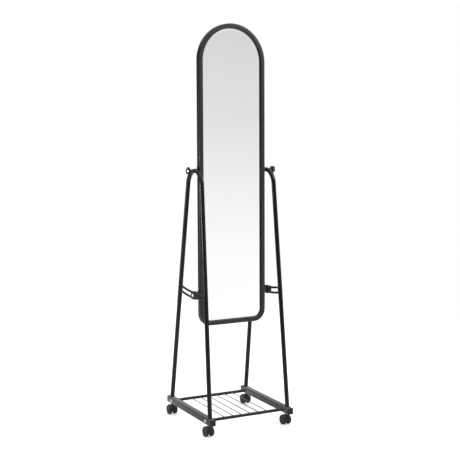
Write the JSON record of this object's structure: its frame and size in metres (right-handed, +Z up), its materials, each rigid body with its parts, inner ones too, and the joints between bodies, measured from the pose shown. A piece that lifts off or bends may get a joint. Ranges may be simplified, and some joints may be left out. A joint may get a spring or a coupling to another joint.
{
  "type": "cheval floor mirror",
  "caption": "Arched full-length mirror in a slim frame, tilting between bent-tube hoops on a wheeled base with a wire shelf.",
  "frame": {"origin": "on the floor, under the middle of the base", "axes": "+Z up, +X towards the right-hand hoop as seen facing the glass, +Y to the back of the mirror"},
  "size_m": [0.403, 0.402, 1.641],
  "materials": {
    "black_steel": "satin black powder coat",
    "frame_steel": "satin black powder coat",
    "mirror_glass": "silvered glass with a ground edge",
    "backing_board": "plain hardboard",
    "black_plastic": "fine moulded grain",
    "wheel_plastic": "moulded, slightly worn tread",
    "zinc_plate": "bright zinc plating"
  },
  "bodies": {
    "stand": {"left_hoop": "black_steel", "left_tilt_guide": "black_steel", "left_side_rail": "black_steel", "left_front_end_cap": "black_plastic", "left_front_rail_bolt": "zinc_plate", "left_rear_end_cap": "black_plastic", "left_rear_rail_bolt": "zinc_plate", "right_hoop": "black_steel", "right_tilt_guide": "black_steel", "right_side_rail": "black_steel", "right_front_end_cap": "black_plastic", "right_front_rail_bolt": "zinc_plate", "right_rear_end_cap": "black_plastic", "right_rear_rail_bolt": "zinc_plate", "front_cross_tube": "black_steel", "rear_cross_tube": "black_steel", "shelf_wire_1": "black_steel", "shelf_wire_2": "black_steel", "shelf_wire_3": "black_steel", "shelf_wire_4": "black_steel", "shelf_wire_5": "black_steel", "shelf_wire_6": "black_steel", "left_front_caster_stem": "zinc_plate", "left_rear_caster_stem": "zinc_plate", "right_front_caster_stem": "zinc_plate", "right_rear_caster_stem": "zinc_plate"},
    "mirror": {"mirror_frame": "frame_steel", "mirror_glass": "mirror_glass", "backing_board": "backing_board", "left_pivot_plate": "black_steel", "left_guide_plate": "black_steel", "left_pivot_upper_screw": "zinc_plate", "left_pivot_lower_screw": "zinc_plate", "left_guide_upper_screw": "zinc_plate", "left_guide_lower_screw": "zinc_plate", "left_slider_block": "black_plastic", "left_guide_bolt": "zinc_plate", "right_pivot_plate": "black_steel", "right_guide_plate": "black_steel", "right_pivot_upper_screw": "zinc_plate", "right_pivot_lower_screw": "zinc_plate", "right_guide_upper_screw": "zinc_plate", "right_guide_lower_screw": "zinc_plate", "right_slider_block": "black_plastic", "right_guide_bolt": "zinc_plate"},
    "left_knob": {"left_knob": "black_plastic"},
    "right_knob": {"right_knob": "black_plastic"},
    "left_front_caster": {"left_front_caster_hood": "black_plastic"},
    "left_front_caster_left_wheel": {"left_front_caster_left_wheel": "wheel_plastic"},
    "left_front_caster_right_wheel": {"left_front_caster_right_wheel": "wheel_plastic"},
    "left_rear_caster": {"left_rear_caster_hood": "black_plastic"},
    "left_rear_caster_left_wheel": {"left_rear_caster_left_wheel": "wheel_plastic"},
    "left_rear_caster_right_wheel": {"left_rear_caster_right_wheel": "wheel_plastic"},
    "right_front_caster": {"right_front_caster_hood": "black_plastic"},
    "right_front_caster_left_wheel": {"right_front_caster_left_wheel": "wheel_plastic"},
    "right_front_caster_right_wheel": {"right_front_caster_right_wheel": "wheel_plastic"},
    "right_rear_caster": {"right_rear_caster_hood": "black_plastic"},
    "right_rear_caster_left_wheel": {"right_rear_caster_left_wheel": "wheel_plastic"},
    "right_rear_caster_right_wheel": {"right_rear_caster_right_wheel": "wheel_plastic"}
  },
  "joints": [
    {"name": "mirror_tilt", "type": "hinge", "parent": "stand", "child": "mirror", "pos_m": [0, 0, 1.05], "axis": [1, 0, 0], "range_deg": [-8.25, 11.75]},
    {"name": "left_knob_turn", "type": "hinge", "parent": "mirror", "child": "left_knob", "pos_m": [-0.1957, 0, 1.05], "axis": [-1, 0, 0], "range_deg": [0, 360]},
    {"name": "right_knob_turn", "type": "hinge", "parent": "mirror", "child": "right_knob", "pos_m": [0.1957, 0, 1.05], "axis": [1, 0, 0], "range_deg": [0, 360]},
    {"name": "left_front_caster_swivel", "type": "hinge", "parent": "stand", "child": "left_front_caster", "pos_m": [-0.18, -0.17, 0.046], "axis": [0, 0, 1], "continuous": true},
    {"name": "left_front_caster_left_wheel_roll", "type": "hinge", "parent": "left_front_caster", "child": "left_front_caster_left_wheel", "pos_m": [-0.1925, -0.161, 0.02], "axis": [1, 0, 0], "continuous": true},
    {"name": "left_front_caster_right_wheel_roll", "type": "hinge", "parent": "left_front_caster", "child": "left_front_caster_right_wheel", "pos_m": [-0.1675, -0.161, 0.02], "axis": [1, 0, 0], "continuous": true},
    {"name": "left_rear_caster_swivel", "type": "hinge", "parent": "stand", "child": "left_rear_caster", "pos_m": [-0.18, 0.17, 0.046], "axis": [0, 0, 1], "continuous": true},
    {"name": "left_rear_caster_left_wheel_roll", "type": "hinge", "parent": "left_rear_caster", "child": "left_rear_caster_left_wheel", "pos_m": [-0.1925, 0.179, 0.02], "axis": [1, 0, 0], "continuous": true},
    {"name": "left_rear_caster_right_wheel_roll", "type": "hinge", "parent": "left_rear_caster", "child": "left_rear_caster_right_wheel", "pos_m": [-0.1675, 0.179, 0.02], "axis": [1, 0, 0], "continuous": true},
    {"name": "right_front_caster_swivel", "type": "hinge", "parent": "stand", "child": "right_front_caster", "pos_m": [0.18, -0.17, 0.046], "axis": [0, 0, 1], "continuous": true},
    {"name": "right_front_caster_left_wheel_roll", "type": "hinge", "parent": "right_front_caster", "child": "right_front_caster_left_wheel", "pos_m": [0.1675, -0.161, 0.02], "axis": [1, 0, 0], "continuous": true},
    {"name": "right_front_caster_right_wheel_roll", "type": "hinge", "parent": "right_front_caster", "child": "right_front_caster_right_wheel", "pos_m": [0.1925, -0.161, 0.02], "axis": [1, 0, 0], "continuous": true},
    {"name": "right_rear_caster_swivel", "type": "hinge", "parent": "stand", "child": "right_rear_caster", "pos_m": [0.18, 0.17, 0.046], "axis": [0, 0, 1], "continuous": true},
    {"name": "right_rear_caster_left_wheel_roll", "type": "hinge", "parent": "right_rear_caster", "child": "right_rear_caster_left_wheel", "pos_m": [0.1675, 0.179, 0.02], "axis": [1, 0, 0], "continuous": true},
    {"name": "right_rear_caster_right_wheel_roll", "type": "hinge", "parent": "right_rear_caster", "child": "right_rear_caster_right_wheel", "pos_m": [0.1925, 0.179, 0.02], "axis": [1, 0, 0], "continuous": true}
  ]
}
